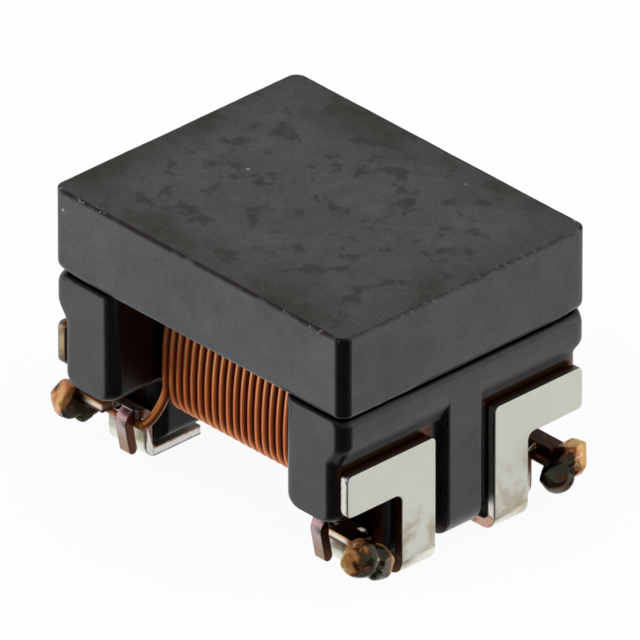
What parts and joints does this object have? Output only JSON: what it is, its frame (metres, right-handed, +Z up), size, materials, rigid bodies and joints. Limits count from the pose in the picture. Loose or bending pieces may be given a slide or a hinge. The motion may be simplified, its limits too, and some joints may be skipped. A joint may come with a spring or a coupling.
{
  "type": "surface mount common mode choke",
  "caption": "Wire-wound common mode choke for a circuit board: ferrite drum core under a ferrite plate, side-by-side copper windings and folded corner terminals with weld beads.",
  "frame": {"origin": "on the board plane under the centre of the part", "axes": "+X along the winding axis, +Y across the flanges, +Z up away from the board; the solder feet stand on Z = 0"},
  "size_m": [0.0044, 0.0032, 0.0028],
  "materials": {
    "ferrite": "sintered nickel zinc ferrite, dark grey, matt",
    "ferrite_plate": "ground ferrite plate, dark grey, satin",
    "enamelled_wire": "copper under clear enamel, glossy",
    "tinned_sheet": "tin plated copper alloy sheet with bare cut edges, satin",
    "weld_metal": "melted copper alloy, heat tinted",
    "resin": "cured adhesive, dark amber"
  },
  "bodies": {
    "root": {"drum_core": "ferrite", "plate_core": "ferrite_plate", "plate_bond_1": "resin", "plate_bond_2": "resin", "winding_a": "enamelled_wire", "winding_b": "enamelled_wire", "terminal_1": "tinned_sheet", "terminal_2": "tinned_sheet", "terminal_3": "tinned_sheet", "terminal_4": "tinned_sheet", "terminal_bond_1": "resin", "terminal_bond_2": "resin", "terminal_bond_3": "resin", "terminal_bond_4": "resin", "weld_bead_1": "weld_metal", "weld_bead_2": "weld_metal", "weld_bead_3": "weld_metal", "weld_bead_4": "weld_metal"}
  },
  "joints": []
}
